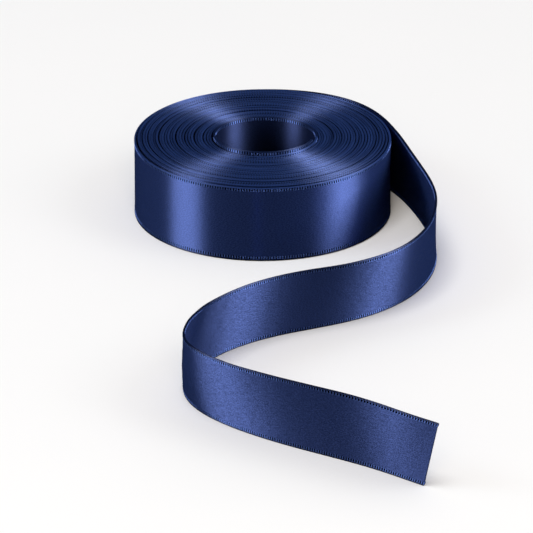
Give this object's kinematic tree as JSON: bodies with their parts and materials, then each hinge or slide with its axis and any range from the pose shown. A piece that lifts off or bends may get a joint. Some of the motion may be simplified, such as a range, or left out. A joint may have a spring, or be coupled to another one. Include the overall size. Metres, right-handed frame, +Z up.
{
  "type": "roll of satin ribbon",
  "caption": "Flat-wound roll of navy satin ribbon with an open middle, its loose end pulled off and standing on edge in an S-shaped path to a slanted cut end.",
  "frame": {"origin": "centre of the whole object's bounding box in plan, on the surface that the roll and the loose end stand on", "axes": "+Z up along the roll's axis and across the ribbon's width, +Y from the cut end of the loose end towards the roll, +X to the right as seen from the cut end"},
  "size_m": [0.0968, 0.2596, 0.0262],
  "materials": {
    "satin": "glossy woven satin",
    "selvedge_stitch": "twisted edge thread"
  },
  "bodies": {
    "root": {"ribbon_roll": "satin", "loose_end": "satin"}
  },
  "joints": []
}
